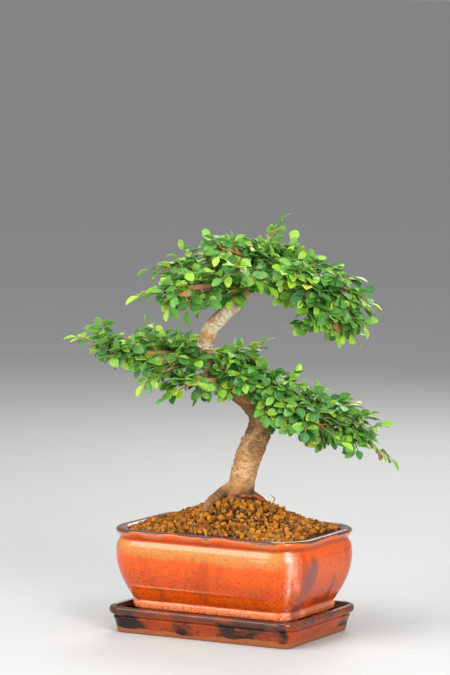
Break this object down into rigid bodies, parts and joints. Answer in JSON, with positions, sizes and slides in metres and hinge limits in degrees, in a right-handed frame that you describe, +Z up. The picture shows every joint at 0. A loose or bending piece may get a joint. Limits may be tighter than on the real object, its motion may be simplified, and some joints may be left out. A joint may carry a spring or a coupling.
{
  "type": "elm bonsai",
  "caption": "Small-leaved elm bonsai with an S-shaped trunk and layered leaf pads, in a glazed rectangular pot with rounded corners that stands in a glazed saucer.",
  "frame": {"origin": "centre of the saucer's underside", "axes": "+Z up the tree, +X along the pot's long side, -Y towards the front long side"},
  "size_m": [0.2106, 0.1435, 0.2898],
  "materials": {
    "saucer_glaze": "gloss",
    "pot_glaze": "gloss",
    "mesh_plastic": "matte",
    "soil_clay": "matte",
    "bark": "rough",
    "leaves": "satin"
  },
  "bodies": {
    "root": {"drain_mesh_left": "mesh_plastic", "drain_mesh_right": "mesh_plastic", "pot": "pot_glaze", "saucer": "saucer_glaze", "soil": "soil_clay", "spray_crown_back_1": "leaves", "spray_crown_back_2": "leaves", "spray_crown_droop_1": "leaves", "spray_crown_droop_2": "leaves", "spray_crown_droop_3": "leaves", "spray_crown_droop_4": "leaves", "spray_crown_front_1": "leaves", "spray_crown_front_2": "leaves", "spray_crown_left_1": "leaves", "spray_crown_left_2": "leaves", "spray_crown_left_3": "leaves", "spray_crown_left_4": "leaves", "spray_crown_right_1": "leaves", "spray_crown_right_2": "leaves", "spray_crown_right_3": "leaves", "spray_crown_right_4": "leaves", "spray_crown_top_1": "leaves", "spray_crown_top_2": "leaves", "spray_crown_top_3": "leaves", "spray_crown_upper_left_1": "leaves", "spray_crown_upper_left_2": "leaves", "spray_crown_upper_left_3": "leaves", "spray_crown_upper_left_4": "leaves", "spray_crown_upper_right_1": "leaves", "spray_crown_upper_right_2": "leaves", "spray_crown_upper_right_3": "leaves", "spray_left_1": "leaves", "spray_left_2": "leaves", "spray_left_3": "leaves", "spray_left_4": "leaves", "spray_left_5": "leaves", "spray_left_6": "leaves", "spray_left_back_1": "leaves", "spray_left_back_2": "leaves", "spray_left_front_1": "leaves", "spray_left_front_2": "leaves", "spray_left_front_3": "leaves", "spray_middle_1": "leaves", "spray_middle_2": "leaves", "spray_middle_front_1": "leaves", "spray_middle_front_2": "leaves", "spray_middle_front_3": "leaves", "spray_middle_front_4": "leaves", "spray_right_1": "leaves", "spray_right_2": "leaves", "spray_right_3": "leaves", "spray_right_4": "leaves", "spray_right_5": "leaves", "spray_right_6": "leaves", "spray_right_back_1": "leaves", "spray_right_back_2": "leaves", "spray_right_front_1": "leaves", "spray_right_front_2": "leaves", "spray_right_front_3": "leaves", "trunk": "bark"}
  },
  "joints": []
}
